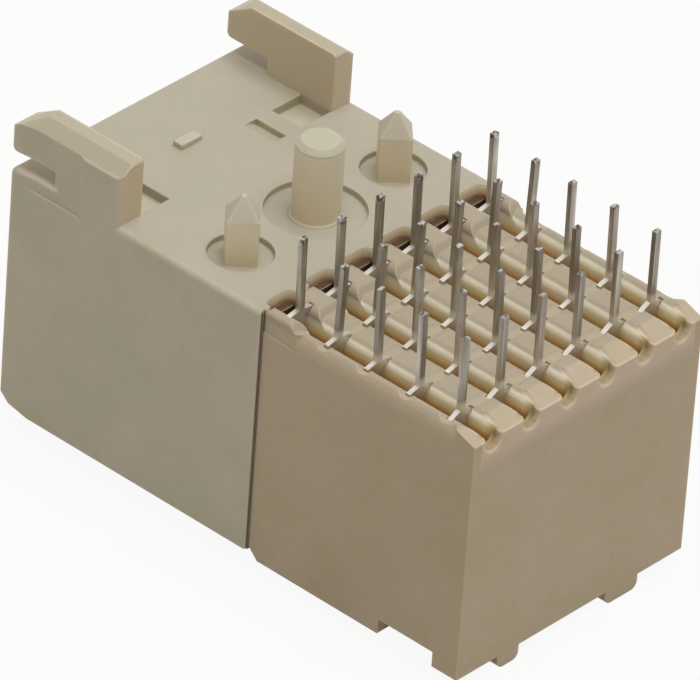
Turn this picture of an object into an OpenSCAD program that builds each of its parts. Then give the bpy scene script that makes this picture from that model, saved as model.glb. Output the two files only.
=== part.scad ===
// Right-angle board header: two housings and thirty bent contacts on a 2 mm grid.
// Millimetres. The origin is on the axis of the round centre peg, in the board face.
// +X runs along a row of contacts, +Y points to the mating side, +Z along the tails into the board.

/* [Contact grid] */
// Distance between neighbouring contacts, along a row and from row to row
pitch = 2; // [1.9:0.05:2.2]
// Distance from the peg axis back to the first row of tails
first_row_back = 3.75; // [3.7:0.05:4]

/* [Front housing] */
// Side wall beyond the outer column's axis
front_side_margin = 1.15; // [1.1:0.05:1.4]
// Distance from the peg axis forward to the mating face
mating_face_y = 9.2; // [8.8:0.1:10]
// Distance from the lowest mating row's axis down to the underside
front_bottom_margin = 1.13; // [1.05:0.01:1.4]
// Radius along the two long top edges
long_edge_r = 0.3; // [0.1:0.05:0.4]
// Radius along the top edge of the mating face
front_edge_r = 0.2; // [0.05:0.05:0.3]
// Distance from the peg axis forward to the floor of the shroud
shroud_floor_y = 2; // [1.6:0.1:2.6]
// Thickness of the shroud's side and bottom walls
shroud_wall = 0.55; // [0.4:0.05:0.6]
// Thickness of the shroud's top wall
shroud_top_wall = 0.7; // [0.6:0.05:0.75]
// Lead-in around the shroud's mouth
mouth_bevel = 0.25; // [0.1:0.05:0.3]
// Height of the bevel under the mating face
toe_h = 0.55; // [0.3:0.05:0.7]
// Length of the bevel under the mating face
toe_len = 1.35; // [0.8:0.05:1.6]
// Bevel down the rear edges of the sides
rear_bevel = 0.12; // [0.1:0.02:0.3]
// Half length of the hollow over each slot, at the rear top edge
scallop_half = 0.7; // [0.5:0.05:0.8]
// Radius of that hollow's corners, and how far it reaches forward
scallop_r = 0.37; // [0.25:0.01:0.42]
// Depth of that hollow
scallop_h = 0.5; // [0.3:0.05:0.6]

/* [Pegs] */
// Diameter of the round centre peg
peg_d = 1.83; // [1.6:0.01:2]
// Height of the centre peg above the board face
peg_h = 3.05; // [2.4:0.05:3.4]
// Bevel around the top of the centre peg
peg_bevel = 0.22; // [0.1:0.02:0.3]
// Diameter of the recess around the centre peg
peg_recess_d = 3.82; // [3.4:0.02:4]
// Distance from the peg axis to each pointed peg
pointed_x = 4; // [3.8:0.05:4.2]
// How far the pointed pegs stand behind the centre peg
pointed_back = 0.08; // [0:0.02:0.12]
// Side of the pointed peg's square section
pointed_side = 1.2; // [1:0.05:1.3]
// Height of the pointed peg above the board face
pointed_h = 2.46; // [2:0.02:2.8]
// Height above the board face where the point starts
pointed_shoulder = 1.6; // [1.2:0.05:1.8]
// Side of the small flat on the point
pointed_flat = 0.16; // [0.1:0.02:0.3]
// Diameter of the recess around each pointed peg
pointed_recess_d = 2.49; // [2.3:0.01:2.7]
// Depth of the recesses round the pegs
recess_h = 0.25; // [0.15:0.05:0.35]

/* [Hooks] */
// Width of a hook, inward from the side of the housing
hook_w = 1.15; // [1:0.05:1.3]
// Rear face of the hooks
hook_rear_y = 3.9; // [3.8:0.05:4.1]
// Front face of the hooks' stems
hook_stem_y = 7.15; // [6.8:0.05:7.4]
// Height of the underside of the hooks' noses
hook_under = 0.72; // [0.6:0.02:0.9]
// Height of the hooks
hook_h = 2.45; // [2.3:0.01:2.8]
// Radius at the hooks' upper rear corner
hook_rear_r = 0.15; // [0.05:0.05:0.6]
// Length of the slope at the hooks' upper front corner
hook_slope_len = 1.1; // [0.8:0.05:1.2]
// Height of that slope
hook_slope_h = 0.66; // [0.4:0.02:0.8]
// Radius down the hooks' outer rear corner, seen from above
hook_side_r = 0.3; // [0.1:0.05:0.4]
// Bevel down the hooks' outer top edge
hook_bevel_h = 0.48; // [0.3:0.02:0.6]
// Width of that bevel
hook_bevel_w = 0.6; // [0.3:0.05:0.7]
// Depth of the relief in the side face at the hooks' front part
side_relief = 0.08; // [0.05:0.01:0.14]
// Lower edge of that relief, below the board face
side_relief_h = 0.6; // [0.4:0.05:0.8]
// Rear end of that relief
side_relief_y = 5.65; // [5.4:0.05:6]
// Distance from the mating face back to where that relief runs out
side_relief_end = 0.3; // [0.2:0.05:0.5]

/* [Board face marks] */
// Inner end of the pocket beside each hook, from the middle
pocket_x = 3.45; // [3.3:0.05:3.6]
// Rear and front ends of the pockets
pocket_rear_y = 3.95; // [3.95:0.05:4.1]
// Length of the pockets
pocket_len = 1.5; // [1.2:0.05:1.8]
// Depth of the pockets
pocket_h = 0.4; // [0.2:0.05:0.5]
// Steep end of the ramped recess inboard of the right pocket
ramp_x = 2.65; // [2.4:0.05:2.8]
// Depth of that recess at its steep end
ramp_h = 0.25; // [0.15:0.05:0.35]
// Length of that recess's ramp
ramp_len = 0.65; // [0.4:0.05:0.9]
// Height of the gate mark
gate_h = 0.22; // [0.1:0.02:0.3]

/* [Rear housing] */
// Side wall beyond the outer column's axis
rear_side_margin = 1; // [0.95:0.05:1.1]
// Seam between the two housings, behind the peg axis
seam_back = 3.15; // [3.1:0.05:3.2]
// Wall behind the last row of tails, from its axis to the rear face
rear_margin = 1.6; // [1.5:0.05:1.8]
// Depth of the rear housing's ribs below the board face
rib_drop = 0.3; // [0.24:0.01:0.34]
// Depth of the ribs' raised front ends below the board face
nose_drop = 0.02; // [0.01:0.01:0.06]
// Length of the raised front ends' level part
nose_len = 1.05; // [1:0.01:1.15]
// Angle at which the raised ends fall to the ribs behind them
nose_slope = 48; // [40:1:55]
// Radius of the raised ends' front corners, seen from above
nose_r = 0.5; // [0.2:0.05:0.6]
// Radius along the raised ends' front top edges
nose_edge_r = 0.22; // [0.1:0.02:0.3]
// Distance from the lowest arm's axis down to the rear housing's underside
rear_bottom_margin = 1.45; // [1.3:0.01:1.7]
// Play between a contact's leg and each side of its slot
slot_play = 0.15; // [0.1:0.01:0.18]
// Radius round the slots' mouths in the rear face
mouth_r = 0.2; // [0.1:0.02:0.24]
// Radius along the ribs' top edges
rib_r = 0.4; // [0.2:0.05:0.45]
// Radius along the raised ends' outer top edges
rear_edge_r = 0.2; // [0.1:0.01:0.3]
// Width of the round bevel along the outer top edges
side_bevel_w = 0.33; // [0.2:0.01:0.36]
// Height of that bevel
side_bevel_h = 0.8; // [0.5:0.05:0.9]
// Distance from the rear face forward to the end of that bevel
side_bevel_end = 1.3; // [1.2:0.05:1.5]
// Radius of the shallow channels that cross the ribs at each row
channel_r = 0.55; // [0.5:0.05:0.7]
// Depth of those channels
channel_depth = 0.13; // [0.08:0.01:0.18]
// Thickness of the wall behind the slots
end_wall = 0.45; // [0.35:0.05:0.6]
// Depth of that wall's lowest point below the board face, in the slots
end_wall_drop = 1.12; // [0.95:0.02:1.3]
// Length of the slope at the ribs' rear ends
tail_slope_len = 0.95; // [0.7:0.05:1]
// Height of that slope
tail_slope_h = 0.34; // [0.2:0.01:0.5]
// Bevel on the lower edge at the seam
seam_bevel = 0.45; // [0.2:0.05:0.6]
// Depth of the feet below the underside
foot_h = 0.58; // [0.4:0.02:0.7]
// Left side of the narrow foot
narrow_foot_x = -3.8; // [-4.2:0.1:-3.4]
// Width of the narrow foot
narrow_foot_w = 1.1; // [0.9:0.1:1.4]
// Left side of the wide foot
wide_foot_x = 1.94; // [1.64:0.1:2.24]
// Width of the wide foot
wide_foot_w = 1.7; // [1.3:0.1:2]

/* [Contacts] */
// Width of a tail, along the row
tail_w = 0.28; // [0.24:0.02:0.34]
// Thickness of a tail
tail_t = 0.2; // [0.18:0.01:0.24]
// How far the shoulder bar rests on the rib at each side of the slot
bar_seat = 0.25; // [0.2:0.01:0.3]
// Height of the shoulder bar, at the tail
bar_h = 0.34; // [0.32:0.01:0.36]
// Depth of the bar's top below the board face
bar_drop = 0.25; // [0.22:0.01:0.28]
// Width of the leg and the arm
leg_w = 0.4; // [0.36:0.02:0.46]
// Thickness of the leg and the arm
leg_t = 0.2; // [0.18:0.01:0.26]
// Radius of the bend, to the middle of the strip
bend_r = 0.4; // [0.3:0.01:0.45]
// Side of the square mating pin
pin_side = 0.5; // [0.46:0.01:0.54]
// Distance from the peg axis forward to the mating pins' tips
pin_tip_y = 7.2; // [6.6:0.1:7.6]
// Length of the taper on the mating pins
pin_taper = 0.8; // [0.5:0.05:1]
// Depth of the uppermost mating row below the board face
first_pin_drop = 1.285; // [1.25:0.005:1.35]

/* [Hidden] */
$fn = 64;
eps = 0.01;
far = 20;

columns = 6;
row_names = ["a", "b", "c", "d", "e"];
rows = len(row_names);
// For each row: height of the tails, lean of their tips and place of their feet, both forward
tail_h = [3.08, 2.92, 2.87, 2.87, 2.83];
tail_lean = [0.07, -0.07, 0.07, 0.07, 0.02];
row_shift = [-0.18, -0.06, 0.02, 0, 0.03];
// For each row: how much higher the bars sit, how far their ends fall, and the play beyond the ends
bar_lift = [0.25, 0.03, 0, 0, 0];
bar_fall = [0.08, 0.1, 0.1, 0.12, 0.24];
bar_end_play = [0.04, 0.03, 0.03, 0.03, 0.03];

slot_w = leg_w + 2 * slot_play;
bar_half = slot_w / 2 + bar_seat;
last_column_x = (columns - 1) * pitch / 2;
front_half = last_column_x + front_side_margin;
rear_half = last_column_x + rear_side_margin;
last_row_y = -first_row_back - (rows - 1) * pitch;
rear_face_y = last_row_y - rear_margin;
seam_y = -seam_back;
nose_y = seam_y - nose_len;
// Where the raised ends have fallen to the height of the ribs
rib_start_y = nose_y - (rib_drop - nose_drop) / tan(nose_slope) - 0.15;
rib_half = (pitch - slot_w) / 2;
last_pin_z = -first_pin_drop - (rows - 1) * pitch;
front_h = front_bottom_margin - last_pin_z;
rear_depth = rear_bottom_margin - last_pin_z;
// Space under the last arm, down to the slots' floor
slot_clearance = 0.15;
slot_floor_z = last_pin_z - leg_t / 2 - slot_clearance;
bar_bottom_z = -bar_drop - bar_h;
// How far the outer sides stand back beside the raised ends
step_w = 0.05;
// Middle of the round bottom of the notches over the end wall
notch_z = -end_wall_drop + slot_w / 2;
// Play before and behind the shoulder bars in their pockets
bar_play = 0.02;
shroud_half = front_half - shroud_wall;

function column_x(column) = column * pitch - last_column_x;
function row_y(row) = -first_row_back - row * pitch + row_shift[row];
function pin_z(row) = -first_pin_drop - row * pitch;
function contact_name(row, column) = str("contact_", row_names[row], column + 1);

// ---- shapes shared by the pieces

// An outline drawn in Y and Z, given a width along X
module along_x(width, x = 0) {
    translate([x, 0, 0])
        rotate([90, 0, 90])
            linear_extrude(height = width, center = true)
                children();
}

// An outline drawn in X and Z, drawn out from one Y to another behind it
module along_y(front, rear) {
    translate([0, front, 0])
        rotate([90, 0, 0])
            linear_extrude(height = front - rear)
                children();
}

module box(x0, x1, y0, y1, z0, z1) {
    translate([x0, y0, z0])
        cube([x1 - x0, y1 - y0, z1 - z0]);
}

// What a round corner takes off a square one, for a body that lies to the lower left
module corner_waste(r) {
    difference() {
        translate([-r, -r])
            square(r + eps);
        translate([-r, -r])
            circle(r = r);
    }
}

module both_sides() {
    children();
    mirror([1, 0, 0])
        children();
}

// ---- front housing

module front_block() {
    difference() {
        along_y(mating_face_y, seam_y)
            difference() {
                translate([-front_half, -front_h])
                    square([2 * front_half, front_h]);
                for (side = [0, 1])
                    mirror([side, 0])
                        translate([front_half, 0])
                            corner_waste(long_edge_r);
            }
        along_x(2 * far)
            translate([mating_face_y, 0])
                corner_waste(front_edge_r);
        toe_bevel();
        both_sides()
            rear_edge_bevel();
    }
}

module rear_edge_bevel() {
    translate([front_half, seam_y, -far])
        linear_extrude(height = 2 * far)
            polygon([[-rear_bevel, 0], [-rear_bevel, -eps], [eps, -eps], [eps, rear_bevel], [0, rear_bevel]]);
}

// The mating face's lower edge falls away in two steps
module toe_bevel() {
    knee_len = toe_len * 0.3;
    knee_h = toe_h * 0.35;
    along_x(2 * far)
        polygon([
            [mating_face_y, -front_h + toe_h],
            [mating_face_y - knee_len, -front_h + knee_h],
            [mating_face_y - toe_len, -front_h],
            [mating_face_y - toe_len, -far],
            [far, -far],
            [far, -front_h + toe_h]
        ]);
}

module centre_peg() {
    fillet = 0.12;
    rotate_extrude()
        polygon([
            [0, -recess_h - eps],
            [peg_d / 2 + fillet, -recess_h - eps],
            [peg_d / 2 + fillet, -recess_h],
            [peg_d / 2, -recess_h + fillet],
            [peg_d / 2, peg_h - peg_bevel],
            [peg_d / 2 - peg_bevel, peg_h],
            [0, peg_h]
        ]);
}

// Square peg set corner to corner with the housing, with a four-sided point
module pointed_peg() {
    half = pointed_side / 2;
    flat_half = pointed_flat / 2;
    rotate([0, 0, 45])
        intersection() {
            outline = [
                [-half, -recess_h - eps],
                [half, -recess_h - eps],
                [half, pointed_shoulder],
                [flat_half, pointed_h],
                [-flat_half, pointed_h],
                [-half, pointed_shoulder]
            ];
            along_x(pointed_side)
                polygon(outline);
            along_y(half, -half)
                polygon(outline);
        }
}

module hook() {
    nose_r = 0.2;
    root = -long_edge_r - side_relief_h;
    difference() {
        along_x(hook_w, front_half - hook_w / 2)
            difference() {
                translate([hook_rear_y, root])
                    square([mating_face_y - hook_rear_y, hook_h - root]);
                translate([hook_stem_y, root - eps])
                    square([far, hook_under - root + eps]);
                translate([hook_rear_y, hook_h])
                    mirror([1, 0])
                        corner_waste(hook_rear_r);
                translate([mating_face_y, hook_under])
                    mirror([0, 1])
                        corner_waste(nose_r);
                polygon([
                    [mating_face_y + eps, hook_h - hook_slope_h],
                    [mating_face_y, hook_h - hook_slope_h],
                    [mating_face_y - hook_slope_len, hook_h],
                    [mating_face_y - hook_slope_len, hook_h + eps],
                    [mating_face_y + eps, hook_h + eps]
                ]);
            }
        translate([front_half, hook_rear_y, root - eps])
            linear_extrude(height = far)
                mirror([0, 1])
                    corner_waste(hook_side_r);
        along_y(mating_face_y + eps, hook_rear_y - eps)
            polygon([
                [front_half - hook_bevel_w, hook_h],
                [front_half, hook_h - hook_bevel_h],
                [front_half + eps, hook_h - hook_bevel_h],
                [front_half + eps, hook_h + eps],
                [front_half - hook_bevel_w, hook_h + eps]
            ]);
    }
}

// Shallow relief in the side face, from the hook's front part down to a ledge
module hook_side_relief() {
    lead = 0.3;
    run_out = 0.7;
    front_y = mating_face_y - side_relief_end;
    translate([0, 0, -side_relief_h])
        linear_extrude(height = far)
            polygon([
                [front_half, side_relief_y],
                [front_half - side_relief, side_relief_y + lead],
                [front_half - side_relief, front_y - run_out],
                [front_half, front_y],
                [far, front_y],
                [far, side_relief_y]
            ]);
}

module pocket() {
    box(pocket_x, front_half - hook_w, pocket_rear_y, pocket_rear_y + pocket_len, -pocket_h, far);
}

module ramped_recess() {
    translate([0, pocket_rear_y + pocket_len, 0])
        along_y(0, -pocket_len)
            polygon([
                [ramp_x, -ramp_h],
                [ramp_x, eps],
                [ramp_x - ramp_len, eps],
                [ramp_x - ramp_len, 0]
            ]);
}

module gate_mark() {
    gate_w = 1.05;
    gate_len = 0.45;
    gate_x = -0.36;
    gate_y = 6.02;
    translate([gate_x, gate_y, 0])
        box(-gate_w / 2, gate_w / 2, -gate_len / 2, gate_len / 2, -eps, gate_h);
}

// Upright hollow with round corners at the rear top edge, over a slot of the rear housing
module scallop() {
    reach = scallop_half - scallop_r;
    translate([0, 0, -scallop_h])
        linear_extrude(height = far) {
            translate([-reach, -scallop_r])
                square([2 * reach, 2 * scallop_r]);
            for (side = [-1, 1])
                translate([side * reach, 0])
                    circle(r = scallop_r);
        }
}

module shroud_space() {
    top = -shroud_top_wall;
    bottom = -front_h + shroud_wall;
    mouth_y = mating_face_y - mouth_bevel;
    box(-shroud_half, shroud_half, shroud_floor_y, far, bottom, top);
    along_x(2 * shroud_half)
        polygon([
            [mouth_y, bottom],
            [mouth_y, top],
            [mating_face_y + eps, top + mouth_bevel + eps],
            [mating_face_y + eps, bottom - mouth_bevel - eps]
        ]);
    translate([0, 0, bottom])
        linear_extrude(height = top - bottom)
            polygon([
                [-shroud_half, mouth_y],
                [shroud_half, mouth_y],
                [shroud_half + mouth_bevel + eps, mating_face_y + eps],
                [-shroud_half - mouth_bevel - eps, mating_face_y + eps]
            ]);
}

module pin_holes() {
    for (row = [0:rows - 1])
        for (column = [0:columns - 1])
            translate([column_x(column), 0, pin_z(row)])
                along_y(shroud_floor_y + eps, seam_y - eps)
                    square(pin_side, center = true);
}

module front_housing() {
    color([0.73, 0.70, 0.62]) {
        difference() {
            union() {
                front_block();
                both_sides()
                    hook();
                gate_mark();
            }
            both_sides()
                hook_side_relief();
            both_sides()
                pocket();
            ramped_recess();
            translate([0, 0, -recess_h])
                cylinder(h = far, d = peg_recess_d);
            for (side = [-1, 1])
                translate([side * pointed_x, -pointed_back, -recess_h])
                    cylinder(h = far, d = pointed_recess_d);
            for (column = [0:columns - 1])
                translate([column_x(column), seam_y, 0])
                    scallop();
            shroud_space();
            pin_holes();
        }
        centre_peg();
        for (side = [-1, 1])
            translate([side * pointed_x, -pointed_back, 0])
                pointed_peg();
    }
}

// ---- rear housing

// Section of one slot, with the ribs' rounded shoulders at the given height
module slot_section(top) {
    half = slot_w / 2;
    translate([-half, slot_floor_z])
        square([slot_w, far]);
    difference() {
        translate([-half - rib_r, top - rib_r])
            square([2 * (half + rib_r), far]);
        for (side = [-1, 1])
            translate([side * (half + rib_r), top - rib_r])
                circle(r = rib_r);
    }
}

module block_section(top) {
    translate([-rear_half, -rear_depth])
        square([2 * rear_half, rear_depth + top]);
}

// Section across the ribs and the slots between them
module rib_section(top) {
    difference() {
        block_section(top);
        for (column = [0:columns - 1])
            translate([column_x(column), 0])
                slot_section(top);
    }
}

// Outline of the raised front ends from the side: level, then falling to below the ribs' shoulders
module raised_outline() {
    end_r = 0.3;
    steps = 4;
    low = -rib_drop - rib_r - 0.05;
    slope_y = nose_y - end_r * sin(nose_slope);
    slope_z = -nose_drop - end_r * (1 - cos(nose_slope));
    polygon(concat(
        [[seam_y, low], [seam_y, -nose_drop]],
        [for (step = [0:steps]) [
            nose_y - end_r * sin(nose_slope * step / steps),
            -nose_drop - end_r * (1 - cos(nose_slope * step / steps))
        ]],
        [[slope_y - (slope_z - low) / tan(nose_slope), low]]
    ));
}

// The raised front ends, with their outer and front top edges rounded
module raised_ends() {
    difference() {
        intersection() {
            along_y(seam_y, -far)
                rib_section(-nose_drop);
            along_x(2 * rear_half)
                raised_outline();
        }
        along_x(2 * far)
            translate([seam_y, -nose_drop])
                corner_waste(nose_edge_r);
        both_sides()
            along_y(seam_y + eps, -far)
                translate([rear_half - step_w, -nose_drop])
                    corner_waste(rear_edge_r);
    }
}

// Above a slanting step the outer side stands back a little, ahead of the round bevel
module side_step() {
    front_h = 0.93;
    rear_h = 1.05;
    overlap = 0.1;
    end_y = rib_start_y - overlap;
    along_x(far, rear_half - step_w + far / 2)
        polygon([
            [seam_y + eps, -front_h],
            [end_y, -rear_h],
            [end_y, far],
            [seam_y + eps, far]
        ]);
}

// Rear run, where a wall with a round-bottomed notch closes every slot
module end_run() {
    along_y(rear_face_y + end_wall + eps, rear_face_y)
        difference() {
            block_section(-rib_drop);
            for (column = [0:columns - 1])
                translate([column_x(column), 0])
                    intersection() {
                        slot_section(-rib_drop);
                        notch_section();
                    }
        }
}

// The notch over the end wall: as wide as the slot at its bottom
module notch_section() {
    translate([0, notch_z])
        circle(r = slot_w / 2);
    translate([-pitch, notch_z])
        square([2 * pitch, far]);
}

// What the round mouth of one slot takes off the rear face
module slot_mouth() {
    translate([0, rear_face_y, notch_z]) {
        rotate([-90, 0, 0])
            rotate_extrude(angle = 180)
                mouth_waste();
        for (side = [0, 1])
            mirror([side, 0, 0])
                linear_extrude(height = far)
                    mouth_waste();
    }
}

module mouth_waste() {
    translate([slot_w / 2, 0])
        rotate(180)
            corner_waste(mouth_r);
}

// The front ends are round when seen from above, at each side of a slot
module nose_waste() {
    depth = 1.2;
    for (side = [0, 1])
        mirror([side, 0, 0])
            translate([rib_half, seam_y, -depth])
                linear_extrude(height = far)
                    corner_waste(nose_r);
}

// What the round bevel takes off one outer top edge; it runs out slantwise at both ends
module side_bevel() {
    run_out = 0.4;
    inner_x = rear_half - side_bevel_w;
    front_y = rib_start_y;
    end_y = rear_face_y + side_bevel_end;
    intersection() {
        along_y(front_y, end_y - run_out)
            polygon(concat(
                [for (angle = [0:15:90]) [
                    inner_x + side_bevel_w * cos(angle),
                    -rib_drop - side_bevel_h * (1 - sin(angle))
                ]],
                [[inner_x, far], [far, far], [far, -rib_drop - side_bevel_h]]
            ));
        translate([0, 0, -far])
            linear_extrude(height = 2 * far)
                polygon([
                    [far, front_y],
                    [rear_half, front_y],
                    [inner_x - eps, front_y - run_out],
                    [inner_x - eps, end_y],
                    [rear_half, end_y - run_out],
                    [far, end_y - run_out]
                ]);
    }
}

module bar_pocket(row) {
    half = bar_half + bar_end_play[row];
    half_len = tail_t / 2 + bar_play;
    box(-half, half, -half_len, half_len, bar_bottom_z + bar_lift[row], far);
}

module row_channel() {
    translate([0, 0, -rib_drop - channel_depth + channel_r])
        rotate([0, 90, 0])
            cylinder(h = 2 * far, r = channel_r, center = true);
}

module rear_block() {
    difference() {
        union() {
            along_y(seam_y, rear_face_y + end_wall)
                rib_section(-rib_drop);
            raised_ends();
            end_run();
        }
        along_x(2 * far)
            polygon([
                [rear_face_y + tail_slope_len, -rib_drop],
                [rear_face_y + tail_slope_len, far],
                [-far, far],
                [-far, -rib_drop - tail_slope_h],
                [rear_face_y, -rib_drop - tail_slope_h]
            ]);
        along_x(2 * far)
            polygon([
                [seam_y - seam_bevel, -rear_depth],
                [seam_y, -rear_depth + seam_bevel],
                [far, -rear_depth],
                [seam_y, -far]
            ]);
        both_sides() {
            side_step();
            side_bevel();
        }
    }
}

// Notch in the lower edge of each side, ahead of the rear corner
module side_notch() {
    notch_w = 1;
    notch_len = 2.65;
    notch_h = 0.62;
    notch_end = rear_face_y + 1.2;
    box(rear_half - notch_w, far, notch_end, notch_end + notch_len, -far, -rear_depth + notch_h);
}

module foot(x0, width) {
    foot_len = 1.1;
    foot_r = 0.3;
    x1 = x0 + width;
    z0 = -rear_depth - foot_h;
    difference() {
        box(x0, x1, rear_face_y, rear_face_y + foot_len, z0, -rear_depth + eps);
        along_y(rear_face_y + foot_len + eps, rear_face_y - eps) {
            translate([x1, z0])
                mirror([0, 1])
                    corner_waste(foot_r);
            translate([x0, z0])
                rotate(180)
                    corner_waste(foot_r);
        }
    }
}

// Shallow groove down the rear slope, beside each slot; it runs out towards the rear
module slope_groove() {
    groove_x = 0.53;
    groove_r = 0.15;
    groove_len = 0.9;
    axis_h = 0.06;
    slope = 0.8 * atan(tail_slope_h / tail_slope_len);
    translate([groove_x, rear_face_y + tail_slope_len, -rib_drop + axis_h])
        rotate([90 + slope, 0, 0])
            cylinder(h = groove_len, r = groove_r);
}

module rear_housing() {
    color([0.66, 0.59, 0.49]) {
        difference() {
            rear_block();
            for (column = [-1:columns - 1])
                translate([column_x(column) + pitch / 2, 0, 0])
                    nose_waste();
            for (row = [1:rows - 1])
                translate([0, row_y(row), 0])
                    row_channel();
            for (row = [0:rows - 1])
                for (column = [0:columns - 1])
                    translate([column_x(column), row_y(row), 0])
                        bar_pocket(row);
            for (column = [0:columns - 1])
                translate([column_x(column), 0, 0]) {
                    slot_mouth();
                    slope_groove();
                }
            both_sides()
                side_notch();
        }
        foot(narrow_foot_x, narrow_foot_w);
        foot(wide_foot_x, wide_foot_w);
    }
}

// ---- contacts

// The tail leans a little about the middle of its shoulder bar
module tail(row) {
    tip = 0.08;
    base = bar_lift[row] - bar_drop - bar_h / 2;
    length = tail_h[row] - base;
    translate([0, 0, base])
        rotate([-asin(tail_lean[row] / length), 0, 0])
            intersection() {
                along_x(tail_w)
                    polygon([
                        [-tail_t / 2, 0],
                        [tail_t / 2, 0],
                        [tail_t / 2, length - tip],
                        [tail_t / 2 - tip, length],
                        [tip - tail_t / 2, length],
                        [-tail_t / 2, length - tip]
                    ]);
                along_y(tail_t, -tail_t)
                    polygon([
                        [-tail_w / 2, 0],
                        [tail_w / 2, 0],
                        [tail_w / 2, length - tip],
                        [tail_w / 2 - tip, length],
                        [tip - tail_w / 2, length],
                        [-tail_w / 2, length - tip]
                    ]);
            }
}

// The bar that stops the contact on the ribs; its two ends fall a little
module shoulder_bar(row) {
    lift = bar_lift[row];
    end_z = lift - bar_drop - bar_fall[row];
    along_y(tail_t / 2, -tail_t / 2)
        polygon([
            [-bar_half, lift + bar_bottom_z],
            [bar_half, lift + bar_bottom_z],
            [bar_half, end_z],
            [tail_w / 2, lift - bar_drop],
            [-tail_w / 2, lift - bar_drop],
            [-bar_half, end_z]
        ]);
}

module mating_pin() {
    half = pin_side / 2;
    flat_half = 0.08;
    shoulder_y = pin_tip_y - pin_taper;
    intersection() {
        along_x(pin_side)
            polygon([
                [seam_y, -half],
                [shoulder_y, -half],
                [pin_tip_y, -flat_half],
                [pin_tip_y, flat_half],
                [shoulder_y, half],
                [seam_y, half]
            ]);
        translate([0, 0, -half])
            linear_extrude(height = pin_side)
                polygon([
                    [-half, seam_y],
                    [-half, shoulder_y],
                    [-flat_half, pin_tip_y],
                    [flat_half, pin_tip_y],
                    [half, shoulder_y],
                    [half, seam_y]
                ]);
    }
}

module contact(row, column) {
    y = row_y(row);
    z = pin_z(row);
    color([0.72, 0.71, 0.69])
        translate([column_x(column), 0, 0]) {
            translate([0, y, 0]) {
                tail(row);
                shoulder_bar(row);
                box(
                    -leg_w / 2, leg_w / 2, -leg_t / 2, leg_t / 2,
                    z + bend_r, bar_bottom_z + bar_lift[row] + eps
                );
            }
            translate([0, y + bend_r, z + bend_r])
                rotate([90, 0, 90])
                    rotate([0, 0, 180])
                        rotate_extrude(angle = 90)
                            translate([bend_r - leg_t / 2, -leg_w / 2])
                                square([leg_t, leg_w]);
            translate([0, 0, z]) {
                box(-leg_w / 2, leg_w / 2, y + bend_r, seam_y + eps, -leg_t / 2, leg_t / 2);
                mating_pin();
            }
        }
}

// ---- drawing

front_housing();
rear_housing();
for (row = [0:rows - 1])
    for (column = [0:columns - 1])
        contact(row, column);
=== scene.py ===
"""Looks of the right-angle pin header: materials, light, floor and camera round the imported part."""

import math

import bpy
from mathutils import Matrix, Vector


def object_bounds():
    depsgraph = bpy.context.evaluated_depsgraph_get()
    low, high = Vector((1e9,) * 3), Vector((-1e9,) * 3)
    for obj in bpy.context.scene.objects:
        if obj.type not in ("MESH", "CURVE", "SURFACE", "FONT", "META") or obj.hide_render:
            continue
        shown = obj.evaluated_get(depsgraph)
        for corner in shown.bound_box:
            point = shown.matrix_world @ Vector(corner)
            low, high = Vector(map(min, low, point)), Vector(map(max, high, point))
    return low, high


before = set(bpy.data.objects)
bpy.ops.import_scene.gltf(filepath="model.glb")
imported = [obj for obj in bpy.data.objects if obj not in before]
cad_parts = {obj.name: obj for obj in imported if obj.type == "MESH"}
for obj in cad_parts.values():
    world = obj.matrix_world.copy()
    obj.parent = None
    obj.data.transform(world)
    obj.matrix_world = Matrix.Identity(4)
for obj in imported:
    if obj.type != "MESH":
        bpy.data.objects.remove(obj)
cad_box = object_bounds()

MM = 0.001

# Camera: where the photograph was taken from, in the part's frame
CAMERA_PLACE_MM = (-268.04, -232.38, 239.87)
CAMERA_AZIMUTH = -49.33
CAMERA_ELEVATION = 34.68
CAMERA_ROLL = 4.24
CAMERA_CLIP = (0.01, 5)
FOCAL_PX = 11949
IMAGE_W = 700
SENSOR_MM = 36

# Light and floor
SKY = 0.425
SKY_TINT = (1.0, 0.940, 0.860)
KEY_POWER = 1.46
KEY_PLACE = (0.01, -0.065, 0.42)
KEY_SIZE = 0.30
WHITE = (1, 1, 1)
FLOOR_SIZE = 2
FLOOR_TONE = (0.60, 0.56, 0.51)
FLOOR_ROUGHNESS = 0.9
FLOOR_WHITE = 0.93

# Patterns: the scale is in cells per metre, and a small stretch draws a pattern out along that axis
BLOTCHES = dict(scale=420, detail=4)
GRAIN = dict(scale=2600, detail=5)
SHEEN = dict(scale=900, detail=3)
SKIN = dict(scale=5200, detail=4)
TIN_STREAKS = dict(scale=3000, detail=3, stretch=(1, 1, 0.06))
TIN_BLOTS = dict(scale=1400, detail=2)
TIN_SHEEN = dict(scale=2200, detail=2)
TIN_SKIN = dict(scale=4200, detail=3, stretch=(1, 1, 0.15))
TIP_GLINTS = dict(scale=6500, detail=1)
# Most of a pattern lies in this part of its range from 0 to 1
PATTERN_RANGE = (0.3, 0.7)

# Plastic colours (linear): two tones of the mottling, the edges' painted highlight (also the grain's
# light tone), and the hollows' painted shade
FRONT = dict(
    pale=(0.515, 0.470, 0.384),
    cool=(0.466, 0.448, 0.338),
    edge=(0.66, 0.60, 0.50),
    hollow=(0.56, 0.44, 0.23),
    hollow_share=0.8,
)
REAR = dict(
    pale=(0.468, 0.387, 0.279),
    cool=(0.434, 0.369, 0.250),
    edge=(0.64, 0.55, 0.42),
    hollow=(0.42, 0.30, 0.13),
    hollow_share=0.05,
)
BLOTCH_RANGE = (0.35, 0.65)
GRAIN_SHARE = 0.10
PLASTIC_ROUGHNESS = (0.44, 0.60)
PLASTIC_SPECULAR = 0.35
SKIN_MM = 0.012
# Painted shade goes in hollows, which are found by how open a place is, from 0 to 1, within their reach
HOLLOW_REACH_MM = 0.5
HOLLOW_OPENNESS = (0.30, 0.75)
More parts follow.
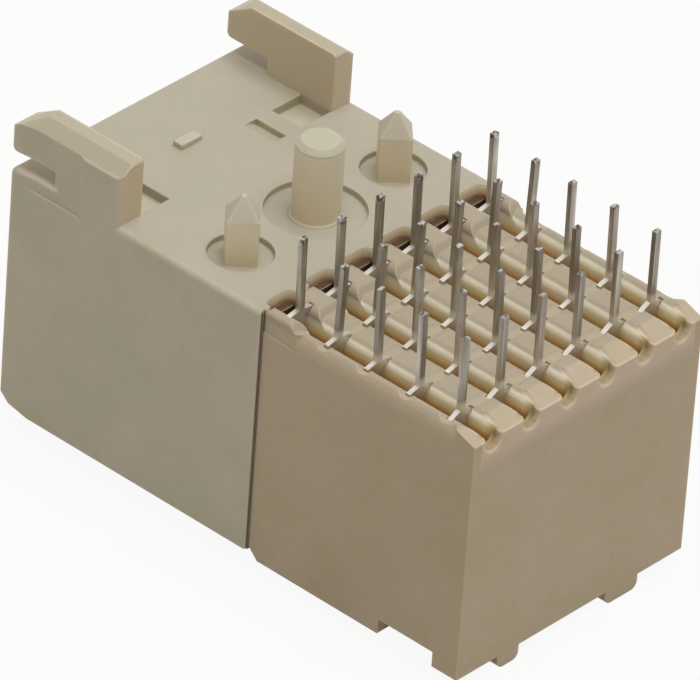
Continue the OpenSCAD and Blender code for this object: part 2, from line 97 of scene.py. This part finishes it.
# Painted highlights go on edges, which are found by the cosine between the rounded and the flat
# surface's normals
EDGE_RADIUS_MM = 0.09
EDGE_SAMPLES = 6
EDGE_COSINE = (0.80, 0.99)
EDGE_HIGHLIGHT_SHARE = 0.75
EDGE_OPENNESS = (0.25, 0.60)
# Light spreads inside the plastic, red the furthest
GLOW = 0.30
GLOW_COLOUR = (1.0, 0.72, 0.42)
GLOW_DEPTH_MM = 0.6
# How far a tint fades out past its limits
TINT_FADE_MM = 0.06

# The rear housing's ribs stand at whole pitches from the middle, with the slots between them
PITCH_MM = 2
SLOT_HALF_MM = 0.54
SLOT_FADE_MM = 0.1
# Between the ribs, by height, painted glow and shade: pale at their shoulders, then orange where light
# comes through, then brown shade
SLOT_START_MM = (-0.37, -0.48)
SLOT_HEIGHTS_MM = (-0.42, -2.2)
SLOT_GLOW_AND_SHADE_TONES = (
    (0.00, (0.77, 0.73, 0.63)),
    (0.12, (0.96, 0.90, 0.70)),
    (0.26, (0.95, 0.80, 0.46)),
    (0.36, (0.84, 0.54, 0.21)),
    (0.50, (0.40, 0.20, 0.07)),
    (1.00, (0.16, 0.07, 0.02)),
)
# Each rib's +X edge is in the slot's shadow; distances from the rib's middle
SHADE_RISE_MM = (0.41, 0.46)
SHADE_FALL_MM = (0.52, 0.56)
SHADE_TONE = (0.24, 0.15, 0.07)
# The ribs' tops between the tails
RIB_TOP_MM = {"Y": (-12.4, -3.2), "Z": (-0.35, 0.2)}
RIB_TOP_FADE_MM = 0.12
RIB_TONE = (0.400, 0.342, 0.252)
# Painted shade in the slots' rear mouths and on the mouths' floors
MOUTH_MM = (-12.6, -13.05)
MOUTH_SHADE_TONE = (0.36, 0.265, 0.115)
MOUTH_END_MM = (-13.17, -13.06)
MOUTH_FLOOR_MM = {"Y": (-13.29, -13.02), "Z": (-1.25, -1.02)}
MOUTH_FLOOR_SHADE_TONE = (0.345, 0.27, 0.155)
# Painted shade: the slots' front ends are dark and reddish under the front housing's scallops
FOOT_MM = {"Y": (-3.70, -3.0), "Z": (-3, -0.14)}
FOOT_SHADE_TONE = (0.20, 0.10, 0.04)
# Painted highlight: the rear face is palest along its top
REAR_TOP_MM = {"|X|": (0, 5.6), "Y": (-13.5, -13.31)}
REAR_TOP_FADE_MM = (-2.0, -1.3)
REAR_TOP_HIGHLIGHT_TONE = (0.57, 0.475, 0.365)

# Painted shade: the front housing's face that sits on the board is darker than its sides
BOARD_FACE_MM = {"|X|": (0, 5.95), "Y": (-3.15, 9.1), "Z": (-0.30, 0.04)}
BOARD_FACE_SHADE_TONE = (0.350, 0.318, 0.255)
BOARD_FACE_SHARE = 0.5
# Painted glow and shade in the scallops over the slots, in the front housing's rear top edge, by depth
SCALLOPS_MM = {"X": (-5.85, 5.85), "Y": (-3.3, -2.74)}
SCALLOP_START_MM = (-0.01, -0.05)
SCALLOP_HEIGHTS_MM = (0.0, -0.50)
SCALLOP_GLOW_AND_SHADE_TONES = (
    (0.00, (0.94, 0.90, 0.79)),
    (0.30, (0.94, 0.85, 0.66)),
    (0.75, (0.80, 0.62, 0.40)),
    (0.95, (0.36, 0.22, 0.11)),
    (0.99, (0.10, 0.05, 0.02)),
)
# The seam's shadow on the front housing's rear edge
SEAM_MM = {"|X|": (5.95, 7), "Y": (-3.3, -3.10)}
SEAM_FADE_MM = 0.02
SEAM_TONE = (0.10, 0.07, 0.045)
# Painted glow: the pegs are lighter for the light they let through, and are yellowest at their feet
PEG_MM = dict(radius=0.93, foot=-0.22, top=2.75)
POINTED_MM = dict(x=4, y=-0.08, half_diagonal=0.87, foot=-0.22, top=1.55)
PEG_FADE_MM = 0.04
PEG_GLOW_TONES = (
    (0.0, (0.71, 0.62, 0.43)),
    (0.5, (0.74, 0.66, 0.49)),
    (1.0, (0.76, 0.70, 0.56)),
)
# Painted warm light on the hooks' inner faces and rear faces, then painted shade on their tops
HOOKS_MM = (
    {"|X|": (4.9, 5.04), "Y": (3.8, 9.3), "Z": (0.05, 2.6)},
    {"|X|": (4.9, 6.2), "Y": (3.8, 3.95), "Z": (0.05, 2.2)},
)
HOOK_FACE_LIGHT_TONE = (0.57, 0.49, 0.345)
HOOK_TOPS_MM = {"|X|": (5.1, 6.03), "Y": (3.97, 9.3), "Z": (2.04, 3.2)}
HOOK_TOP_SHADE_TONE = (0.445, 0.398, 0.295)
# Painted light on the board face under the hooks' noses, where shade would fall
NOSE_MM = {"|X|": (5.15, 6.2), "Y": (7.1, 9.0), "Z": (-0.06, 0.02)}
NOSE_FADE_MM = 0.15
NOSE_LIGHT_TONE = (0.70, 0.63, 0.52)

# Tin plate (linear): streaks from dark to pale, with darker blots
TIN_DARK = (0.26, 0.23, 0.19)
TIN_PALE = (0.56, 0.51, 0.45)
STREAK_RANGE = (0.38, 0.66)
BLOT_RANGE = (0.45, 0.75)
BLOT_SHARE = 0.35
TIN_METALLIC = 0.9
TIN_ROUGHNESS = (0.30, 0.46)
TIN_SKIN_MM = 0.004
# The strip has a painted highlight where it comes out of the plastic, and painted shade towards the tips
TIN_HIGHLIGHT = (0.62, 0.58, 0.52)
HIGHLIGHT_BELOW_MM = (0.15, -0.05)
TIP_SHADE_MM = (2.2, 2.8)
TIP_SHADE_SHARE = 0.45
# The tips are cut by a shear; their dark and bright spots are painted glints and painted shade
TIP_GLINT_MM = (2.68, 2.83)
TIP_GLINT_SHARE = 0.7
TIP_GLINT_TONES = ((0.40, (0.04, 0.037, 0.033)), (0.60, (0.62, 0.61, 0.58)))


def camera():
    """A long lens at the photograph's angle. Azimuth 0 looks along +Y."""
    azimuth, elevation, roll = (math.radians(v) for v in (CAMERA_AZIMUTH, CAMERA_ELEVATION, CAMERA_ROLL))
    out = math.cos(elevation)
    back = Vector((math.sin(azimuth) * out, -math.cos(azimuth) * out, math.sin(elevation)))
    level = Vector((math.cos(azimuth), math.sin(azimuth), 0))
    rise = back.cross(level)
    right = level * math.cos(roll) + rise * math.sin(roll)
    up = rise * math.cos(roll) - level * math.sin(roll)
    data = bpy.data.cameras.new("camera")
    data.sensor_width = SENSOR_MM
    data.lens = FOCAL_PX / IMAGE_W * SENSOR_MM
    data.clip_start, data.clip_end = CAMERA_CLIP
    cam = bpy.data.objects.new("camera", data)
    turn = Matrix((right, up, back)).transposed().to_4x4()
    cam.matrix_world = Matrix.Translation(Vector(CAMERA_PLACE_MM) * MM) @ turn
    bpy.context.scene.collection.objects.link(cam)
    bpy.context.scene.camera = cam


class Nodes:
    """A node tree being put together. Most methods add one node and give back its output."""

    def __init__(self, tree):
        self.tree = tree

    def add(self, kind, **inputs):
        node = self.tree.nodes.new(kind)
        for socket, value in inputs.items():
            self.put(node.inputs[socket.replace("_", " ")], value)
        return node

    def put(self, socket, value):
        if isinstance(value, bpy.types.NodeSocket):
            self.tree.links.new(value, socket)
        else:
            socket.default_value = value

    def math(self, operation, *values):
        node = self.tree.nodes.new("ShaderNodeMath")
        node.operation = operation
        for socket, value in zip(node.inputs, values):
            self.put(socket, value)
        return node.outputs[0]

    def product(self, a, b):
        return self.math("MULTIPLY", a, b)

    def mix(self, share, a, b):
        node = self.tree.nodes.new("ShaderNodeMix")
        node.data_type = "RGBA"
        self.put(node.inputs["Factor"], share)
        self.put(node.inputs["A"], a if isinstance(a, bpy.types.NodeSocket) else (*a, 1))
        self.put(node.inputs["B"], b if isinstance(b, bpy.types.NodeSocket) else (*b, 1))
        return node.outputs["Result"]

    def seen_directly(self):
        """1 for rays from the camera, mirrors and clear materials, 0 for those that light the object."""
        path = self.add("ShaderNodeLightPath").outputs
        seen = path["Is Camera Ray"]
        for kind in ("Is Glossy Ray", "Is Transmission Ray"):
            seen = self.math("MAXIMUM", seen, path[kind])
        return seen


class Shader(Nodes):
    """A material's nodes, with what is needed to tint places that are given in the part's frame."""

    def __init__(self, name):
        self.material = bpy.data.materials.new(name)
        self.material.use_nodes = True
        super().__init__(self.material.node_tree)
        self.surface = self.tree.nodes["Principled BSDF"]
        self.place = self.add("ShaderNodeTexCoord").outputs["Object"]

    def set(self, **inputs):
        for socket, value in inputs.items():
            self.put(self.surface.inputs[socket.replace("_", " ")], value)

    def noise(self, scale, detail, stretch=(1, 1, 1)):
        where = self.add("ShaderNodeMapping", Vector=self.place, Scale=stretch).outputs[0]
        return self.add("ShaderNodeTexNoise", Vector=where, Scale=scale, Detail=detail).outputs["Fac"]

    def bump(self, height, distance_mm):
        return self.add("ShaderNodeBump", Height=height, Distance=distance_mm * MM)

    def ramp(self, value, *stops):
        node = self.add("ShaderNodeValToRGB", Fac=value)
        marks = node.color_ramp.elements
        while len(marks) < len(stops):
            marks.new(0.5)
        for mark, (at, rgb) in zip(marks, stops):
            mark.position = at
            mark.color = (*rgb, 1)
        return node.outputs["Color"]

    def rescale(self, value, ends, new_ends=(0.0, 1.0), smooth=False):
        """Takes the ends to the new ends, and holds the value there beyond them."""
        node = self.add("ShaderNodeMapRange", Value=value)
        node.interpolation_type = "SMOOTHSTEP" if smooth else "LINEAR"
        names = ("From Min", "From Max", "To Min", "To Max")
        for name, number in zip(names, (*ends, *new_ends)):
            node.inputs[name].default_value = number
        return node.outputs["Result"]

    def rise(self, length, ends_mm, smooth=False):
        """0 up to the first end, 1 from the second end on. The ends may fall as well as rise."""
        return self.rescale(length, [end * MM for end in ends_mm], smooth=smooth)

    def band(self, length, rise_mm, fall_mm):
        """0, then 1 from the rise's end to the fall's start, then 0 again."""
        fall = self.rescale(length, [end * MM for end in fall_mm], (1.0, 0.0))
        return self.product(self.rise(length, rise_mm), fall)

    def axis(self, name):
        """The place along X, Y or Z, or its distance from the middle for |X|."""
        along = self.add("ShaderNodeSeparateXYZ", Vector=self.place).outputs[name.strip("|")]
        return self.math("ABSOLUTE", along) if name.startswith("|") else along

    def inside(self, limits_mm, fade_mm=TINT_FADE_MM):
        """1 between the limits given for each axis, and a fade to 0 past them."""
        share = 1.0
        for name, (low, high) in limits_mm.items():
            here = self.band(self.axis(name), (low - fade_mm, low), (high, high + fade_mm))
            share = self.product(share, here)
        return share


def between_ribs(s):
    """1 in the slots, 0 on the ribs. Both repeat at every pitch."""
    from_rib = s.math("PINGPONG", s.axis("X"), PITCH_MM / 2 * MM)
    rib_half = PITCH_MM / 2 - SLOT_HALF_MM
    return s.rise(from_rib, (rib_half, rib_half + SLOT_FADE_MM))


def rib_shade(s):
    """1 on each rib's +X edge."""
    past_rib = s.math("FLOORED_MODULO", s.axis("X"), PITCH_MM * MM)
    shade = s.band(past_rib, SHADE_RISE_MM, SHADE_FALL_MM)
    return s.product(shade, s.inside({"Y": RIB_TOP_MM["Y"]}))


def slot_glow_and_shade(s):
    """The slots' painted glow and shade by height, and the painted shade that takes over in their
    mouths.
    """
    by_height = s.ramp(s.rise(s.axis("Z"), SLOT_HEIGHTS_MM), *SLOT_GLOW_AND_SHADE_TONES)
    return s.mix(s.rise(s.axis("Y"), MOUTH_MM), by_height, MOUTH_SHADE_TONE)


def tint_rear(s, colour):
    """Between the ribs the plastic has a painted orange glow, then falls to painted brown shade."""
    between = between_ribs(s)
    started = s.rise(s.axis("Z"), SLOT_START_MM, smooth=True)
    ahead = s.rise(s.axis("Y"), MOUTH_END_MM)
    in_slot = s.product(s.product(started, between), ahead)
    rear_top_highlight = s.product(s.inside(REAR_TOP_MM), s.rise(s.axis("Z"), REAR_TOP_FADE_MM))

    colour = s.mix(s.inside(RIB_TOP_MM, RIB_TOP_FADE_MM), colour, RIB_TONE)
    colour = s.mix(in_slot, colour, slot_glow_and_shade(s))
    colour = s.mix(s.product(rib_shade(s), started), colour, SHADE_TONE)
    colour = s.mix(s.product(s.inside(MOUTH_FLOOR_MM), between), colour, MOUTH_FLOOR_SHADE_TONE)
    colour = s.mix(rear_top_highlight, colour, REAR_TOP_HIGHLIGHT_TONE)
    return s.mix(s.product(s.inside(FOOT_MM), between), colour, FOOT_SHADE_TONE)


def round_peg(s):
    """1 on the centre peg's upright face."""
    squares = [s.product(s.axis(name), s.axis(name)) for name in ("X", "Y")]
    from_axis = s.math("SQRT", s.math("ADD", *squares))
    radius = PEG_MM["radius"] * MM
    near = s.rescale(from_axis, (radius, radius + PEG_FADE_MM * MM), (1.0, 0.0))
    return s.product(near, s.inside({"Z": (PEG_MM["foot"], PEG_MM["top"])}))


def pointed_pegs(s):
    """1 on the pointed pegs' upright faces; they stand with their corners on X and Y."""
    along = s.math("ABSOLUTE", s.math("SUBTRACT", s.axis("|X|"), POINTED_MM["x"] * MM))
    across = s.math("ABSOLUTE", s.math("SUBTRACT", s.axis("Y"), POINTED_MM["y"] * MM))
    reach = POINTED_MM["half_diagonal"] * MM
    near = s.rescale(s.math("ADD", along, across), (reach, reach + PEG_FADE_MM * MM), (1.0, 0.0))
    return s.product(near, s.inside({"Z": (POINTED_MM["foot"], POINTED_MM["top"])}))


# Painted glow on the pegs, by height
def tint_pegs(s, colour):
    tones = s.ramp(s.rise(s.axis("Z"), (PEG_MM["foot"], PEG_MM["top"])), *PEG_GLOW_TONES)
    colour = s.mix(round_peg(s), colour, tones)
    return s.mix(pointed_pegs(s), colour, tones)


# Painted warm light on the hooks' faces and under their noses, painted shade on their tops
def tint_hooks(s, colour):
    for faces in HOOKS_MM:
        colour = s.mix(s.inside(faces), colour, HOOK_FACE_LIGHT_TONE)
    colour = s.mix(s.inside(HOOK_TOPS_MM), colour, HOOK_TOP_SHADE_TONE)
    return s.mix(s.inside(NOSE_MM, NOSE_FADE_MM), colour, NOSE_LIGHT_TONE)


def tint_front(s, colour):
    """Painted shade on the board face, painted glow and shade in the scallops over the slots, the seam's
    painted shadow, painted glow on the pegs, and painted light and shade on the hooks.
    """
    board_face_shade = s.product(s.inside(BOARD_FACE_MM), BOARD_FACE_SHARE)
    in_scallop = s.product(s.rise(s.axis("Z"), SCALLOP_START_MM), s.inside(SCALLOPS_MM))
    scallop_glow_and_shade = s.ramp(s.rise(s.axis("Z"), SCALLOP_HEIGHTS_MM), *SCALLOP_GLOW_AND_SHADE_TONES)

    colour = s.mix(board_face_shade, colour, BOARD_FACE_SHADE_TONE)
    colour = s.mix(in_scallop, colour, scallop_glow_and_shade)
    colour = s.mix(s.inside(SEAM_MM, SEAM_FADE_MM), colour, SEAM_TONE)
    return tint_hooks(s, tint_pegs(s, colour))


def edges(s, bevelled, openness):
    """The painted edge highlight's share on the edges that stand out, 0 on flat faces and in corners."""
    turn = s.tree.nodes.new("ShaderNodeVectorMath")
    turn.operation = "DOT_PRODUCT"
    s.put(turn.inputs[0], bevelled)
    s.put(turn.inputs[1], s.add("ShaderNodeNewGeometry").outputs["Normal"])
    turned = s.rescale(turn.outputs["Value"], EDGE_COSINE, (EDGE_HIGHLIGHT_SHARE, 0.0))
    return s.product(turned, s.rescale(openness, EDGE_OPENNESS))


def plastic(name, tones, tint):
    """Mottled moulded plastic: pale faces, painted warm shade in the hollows, and a painted highlight
    that makes edges a little lighter than the faces.
    """
    s = Shader(name)
    blotches = s.rescale(s.noise(**BLOTCHES), BLOTCH_RANGE)
    grain = s.rescale(s.noise(**GRAIN), PATTERN_RANGE, (0.0, GRAIN_SHARE))
    body = s.mix(grain, s.mix(blotches, tones["cool"], tones["pale"]), tones["edge"])

    openness = s.add("ShaderNodeAmbientOcclusion", Distance=HOLLOW_REACH_MM * MM).outputs["AO"]
    painted_hollow_shade = s.rescale(openness, HOLLOW_OPENNESS, (tones["hollow_share"], 0.0), smooth=True)
    # Painted warm shade in the hollows, then each housing's painted light and shade
    colour = tint(s, s.mix(painted_hollow_shade, body, tones["hollow"]))

    bevel = s.add("ShaderNodeBevel", Radius=EDGE_RADIUS_MM * MM)
    bevel.samples = EDGE_SAMPLES
    bevelled = bevel.outputs["Normal"]
    skin = s.bump(s.noise(**SKIN), SKIN_MM)
    s.put(skin.inputs["Normal"], bevelled)
    # The base colour gets a painted highlight on the edges
    s.set(
        Base_Color=s.mix(edges(s, bevelled, openness), colour, tones["edge"]),
        Roughness=s.rescale(s.noise(**SHEEN), PATTERN_RANGE, PLASTIC_ROUGHNESS),
        Specular_IOR_Level=PLASTIC_SPECULAR,
        Subsurface_Weight=GLOW,
        Subsurface_Radius=GLOW_COLOUR,
        Subsurface_Scale=GLOW_DEPTH_MM * MM,
        Normal=skin.outputs["Normal"],
    )
    return s.material


def tin():
    """Dull tin plate, streaked along the strip, with a painted highlight low on the strip, painted shade
    towards the tips, and painted glints and shade on its sheared tips.
    """
    s = Shader("tin")
    streaks = s.rescale(s.noise(**TIN_STREAKS), STREAK_RANGE)
    blots = s.rescale(s.noise(**TIN_BLOTS), BLOT_RANGE, (0.0, BLOT_SHARE))
    low = s.rise(s.axis("Z"), HIGHLIGHT_BELOW_MM)
    high = s.product(s.rise(s.axis("Z"), TIP_SHADE_MM), TIP_SHADE_SHARE)
    tip_glints = s.product(s.rise(s.axis("Z"), TIP_GLINT_MM, smooth=True), TIP_GLINT_SHARE)

    plate = s.mix(streaks, TIN_DARK, TIN_PALE)
    plate = s.mix(blots, plate, TIN_DARK)
    # Painted highlight low on the strip, painted shade towards the tips
    plate = s.mix(low, plate, TIN_HIGHLIGHT)
    plate = s.mix(high, plate, TIN_DARK)
    s.set(
        # Painted glints and shade at the tips
        Base_Color=s.mix(tip_glints, plate, s.ramp(s.noise(**TIP_GLINTS), *TIP_GLINT_TONES)),
        Metallic=TIN_METALLIC,
        Roughness=s.rescale(s.noise(**TIN_SHEEN), PATTERN_RANGE, TIN_ROUGHNESS),
        Normal=s.bump(s.noise(**TIN_SKIN), TIN_SKIN_MM).outputs["Normal"],
    )
    return s.material


def dress():
    """Gives each housing its own plastic, and the contacts the tin."""
    housings = {
        "front_housing": plastic("front_plastic", FRONT, tint_front),
        "rear_housing": plastic("rear_plastic", REAR, tint_rear),
    }
    plate = tin()
    for name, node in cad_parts.items():
        node.data.materials.clear()
        node.data.materials.append(housings.get(name, plate))


def floor():
    """Pale floor that is seen as white, with only a trace of the shadow."""
    bpy.ops.mesh.primitive_plane_add(size=FLOOR_SIZE, location=(0, 0, cad_box[0][2]))
    plane = bpy.context.object
    plane.name = "floor"
    s = Shader("floor")
    s.set(Base_Color=(*FLOOR_TONE, 1), Roughness=FLOOR_ROUGHNESS)
    white = s.add("ShaderNodeEmission", Color=(*WHITE, 1), Strength=1.0)
    both = s.add("ShaderNodeMixShader", Fac=s.product(s.seen_directly(), FLOOR_WHITE))
    s.put(both.inputs[1], s.surface.outputs[0])
    s.put(both.inputs[2], white.outputs[0])
    s.put(s.tree.nodes["Material Output"].inputs["Surface"], both.outputs[0])
    plane.data.materials.append(s.material)


def sky():
    """Even, slightly warm light from all round, seen as white."""
    world = bpy.data.worlds.new("studio")
    world.use_nodes = True
    s = Nodes(world.node_tree)
    light = [SKY * share for share in SKY_TINT]
    s.put(s.tree.nodes["Background"].inputs["Color"], s.mix(s.seen_directly(), light, WHITE))
    bpy.context.scene.world = world


def key_light():
    """A broad lamp above, turned to face the part's origin."""
    data = bpy.data.lights.new("key", "AREA")
    data.size = KEY_SIZE
    data.energy = KEY_POWER
    lamp = bpy.data.objects.new("key", data)
    lamp.location = KEY_PLACE
    lamp.rotation_mode = "QUATERNION"
    lamp.rotation_quaternion = Vector(KEY_PLACE).to_track_quat("Z", "Y")
    bpy.context.scene.collection.objects.link(lamp)


camera()
floor()
sky()
key_light()
dress()

bpy.context.scene.view_settings.view_transform = "Standard"
